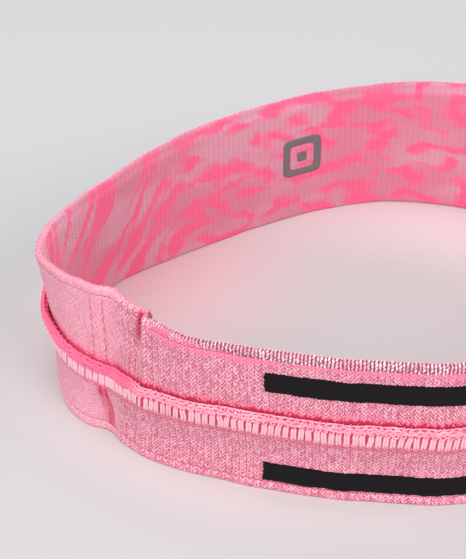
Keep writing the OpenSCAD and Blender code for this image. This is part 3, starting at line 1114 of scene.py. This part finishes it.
class HEADBAND_OT_closing_seam(HeadbandOperator, bpy.types.Operator):
    """Closing seam: the pressed ridge of the lower lining and the stitches that close each layer"""

    bl_idname = "headband.closing_seam"
    bl_label = "Closing Seam"

    def execute(self, context):
        self.ridge()
        self.stitches()
        return {"FINISHED"}

    @staticmethod
    def ridge():
        """Two rolls of cloth side by side, from the bottom edge up under the seam allowance."""
        columns, rows = 29, 60
        half = 2.1
        across = np.linspace(-half, half, columns)[:, None]
        rise = np.linspace(0, 1, rows)[None, :]
        height = RIDGE_FOOT + (SEAM_BOTTOM - RIDGE_FOOT) * rise + 0 * across
        run = across * (1 - 0.15 * rise) + 2.6 * (1 - rise)
        rolls = np.abs(np.sin(math.pi * np.clip((across + half) / (2 * half), 0, 1) * 2)) ** 0.6
        ends = np.clip(np.minimum(rise * 8, (1 - rise) * 8), 0, 1) ** 0.5
        slant = np.interp(height, SEAM_BOTTOM - np.array([8, 5, 1, 0]), [0, 0.5, 1.5, 1.8])
        knit = stitch_height(run / CIRCUMFERENCE * sizes().wales, height / sizes().course)
        outer = SKIN + slant + rolls * ends * (0.75 + 0.12 * knit)
        ridge = patch("closing_seam_ridge", run, height, SKIN - 0.1, outer)
        dress(ridge, pressed_seam_material(), "lining_knit", "closing_seam_ridge")

    @staticmethod
    def stitches():
        """Short stitches in two columns on the lining, and in two on the face."""
        shake = np.random.default_rng(5)
        material = thread_material("closing_thread", "needle_pink", "lining_deep", 0.3)
        along = np.linspace(0, 1, 6)
        taper = [0.4, 0.9, 1, 1, 0.9, 0.4]
        width, depth = 0.42, 0.3
        lying = ("closing_stitches_lining", SKIN + 0.16, 1), ("closing_stitches_face", -SKIN - 0.12, -1)
        for node, out, facing in lying:
            low, high = box_mm(node)
            arch = np.sin(math.pi * along) * 0.12 * facing
            paths = []
            for side in (-1, 1):
                for foot in np.arange(low[2], high[2] - 1.4, STITCH_PITCH):
                    run = side * STITCH_GAP + shake.normal(0, 0.06) + 0.25 * along * side
                    height = foot + STITCH_LENGTH * along
                    paths.append(np.stack([run, out + arch - 0.1 * facing, height], 1))
            piece = threads(node, paths, width, depth, taper)
            dress(piece, material, "seam_thread", node)


class HEADBAND_OT_reflective_mark(HeadbandOperator, bpy.types.Operator):
    """Plain square badge of reflective film on the face"""

    bl_idname = "headband.reflective_mark"
    bl_label = "Reflective Mark"

    def execute(self, context):
        low, high = box_mm("reflective_mark")
        middle = (low + high) / 2
        line = spot(RUNS, -SKIN, middle[2])[:, :2] / MM
        centre = RUNS[np.argmin(np.linalg.norm(line - middle[:2], axis=1))]
        half = (high[2] - low[2]) / 2
        material = film_material()
        for name, outer, inner in (
            ("reflective_mark_frame", half, half - MARK_LINE),
            ("reflective_mark_square", MARK_SQUARE / 2, 0.02),
        ):
            piece = self.ring(name, centre, middle[2], outer, inner)
            dress(piece, material, "reflective_film", "reflective_mark")
        return {"FINISHED"}

    @staticmethod
    def ring(name, centre, height, outer, inner):
        """A rounded square ring of film between two half widths."""
        sides, bands = 96, 7
        angle = np.arange(sides) * 2 * math.pi / sides
        squareness = 0.28
        x, y = (np.sign(way) * np.abs(way) ** squareness for way in (np.cos(angle), np.sin(angle)))
        reach = np.linspace(inner, outer, bands)[:, None]
        run, level = centre + x * reach, height + y * reach
        raised, sunk = 0.2, 0.05
        shell = spot(run, -SKIN - raised, level), spot(run, -SKIN + sunk, level)
        points = np.concatenate([part.reshape(-1, 3) for part in shell])
        order = [(0, band) for band in range(bands)] + [(1, band) for band in range(bands - 1, -1, -1)]
        starts = [layer * bands * sides + band * sides for layer, band in order]
        faces = []
        for start, after in zip(starts, starts[1:] + starts[:1]):
            for j in range(sides):
                k = (j + 1) % sides
                faces.append([start + j, start + k, after + k, after + j])
        return new_piece(name, points, faces)


class HEADBAND_OT_stage(HeadbandOperator, bpy.types.Operator):
    """Pale floor, soft studio light and the camera"""

    bl_idname = "headband.stage"
    bl_label = "Stage"

    def execute(self, context):
        self.floor()
        self.light("overhead_light", (-0.1, -0.1, 1.15), 1.5, 9.4, (1, 0.985, 0.98))
        self.light("front_light", (-0.5, -0.9, 0.7), 0.9, 6.9, (1, 0.96, 0.965))
        self.light("side_light", (0.5, -0.65, 0.75), 0.6, 4.7, (1, 0.975, 0.98))
        world = context.scene.world or bpy.data.worlds.new("studio")
        context.scene.world = world
        world.use_nodes = True
        sky = world.node_tree.nodes["Background"]
        sky.inputs["Color"].default_value = (0.98, 0.98, 1, 1)
        sky.inputs["Strength"].default_value = 0.625
        context.scene.view_settings.view_transform = "Standard"
        self.camera(context)
        return {"FINISHED"}

    @staticmethod
    def floor():
        """A broad flat floor under the band."""
        half = 3.0
        corners = [(-half, -half, 0), (half, -half, 0), (half, half, 0), (-half, half, 0)]
        plane = new_piece("floor", corners, [[0, 1, 2, 3]])
        plane.data.materials.append(floor_material())

    @staticmethod
    def light(name, place, size, power, shade):
        """A square soft light that faces the band."""
        lamp = bpy.data.lights.new(name, "AREA")
        lamp.size = size
        lamp.energy = power
        lamp.color = shade
        holder = bpy.data.objects.new(name, lamp)
        holder.location = place
        holder.rotation_euler = Vector(place).to_track_quat("Z", "Y").to_euler()
        bpy.context.scene.collection.objects.link(holder)

    @staticmethod
    def camera(context):
        """A long lens from above the near left side, pitched down at the loop."""
        pitch = math.radians(34)
        lens = bpy.data.cameras.new("camera")
        lens.sensor_width = 36
        lens.lens = 112.6
        holder = bpy.data.objects.new("camera", lens)
        holder.location = np.array([-37.5, -426, 306.6]) * MM
        holder.rotation_euler = (math.pi / 2 - pitch, 0, 0)
        context.scene.collection.objects.link(holder)
        context.scene.camera = holder


# ---------------------------------------------------------------------------
# Add-on
# ---------------------------------------------------------------------------

PIECE_OPERATORS = (
    HEADBAND_OT_face_panel,
    HEADBAND_OT_linings,
    HEADBAND_OT_overlock,
    HEADBAND_OT_grip_strips,
    HEADBAND_OT_closing_seam,
    HEADBAND_OT_reflective_mark,
    HEADBAND_OT_stage,
)


class HEADBAND_PT_panel(bpy.types.Panel):
    """Sidebar panel with the headband's settings and its pieces"""

    bl_label = "Knitted Headband"
    bl_idname = "HEADBAND_PT_panel"
    bl_space_type = "VIEW_3D"
    bl_region_type = "UI"
    bl_category = "Headband"

    def draw(self, context):
        for group in (context.scene.headband_sizes, context.scene.headband_colours):
            column = self.layout.column()
            for name in group.bl_rna.properties.keys():
                if name not in ("rna_type", "name"):
                    column.prop(group, name)
        for operator in PIECE_OPERATORS:
            self.layout.operator(operator.bl_idname)


CLASSES = (HeadbandSizes, HeadbandColours, *PIECE_OPERATORS, HEADBAND_PT_panel)


def register():
    """Adds the headband's classes and settings."""
    for cls in CLASSES:
        bpy.utils.register_class(cls)
    bpy.types.Scene.headband_sizes = PointerProperty(type=HeadbandSizes)
    bpy.types.Scene.headband_colours = PointerProperty(type=HeadbandColours)


def unregister():
    """Removes them again."""
    del bpy.types.Scene.headband_colours
    del bpy.types.Scene.headband_sizes
    for cls in reversed(CLASSES):
        bpy.utils.unregister_class(cls)


def main():
    """Builds every piece and the stage."""
    register()
    bpy.ops.headband.face_panel()
    bpy.ops.headband.linings()
    bpy.ops.headband.overlock()
    bpy.ops.headband.grip_strips()
    bpy.ops.headband.closing_seam()
    bpy.ops.headband.reflective_mark()
    bpy.ops.headband.stage()


if __name__ == "__main__":
    main()
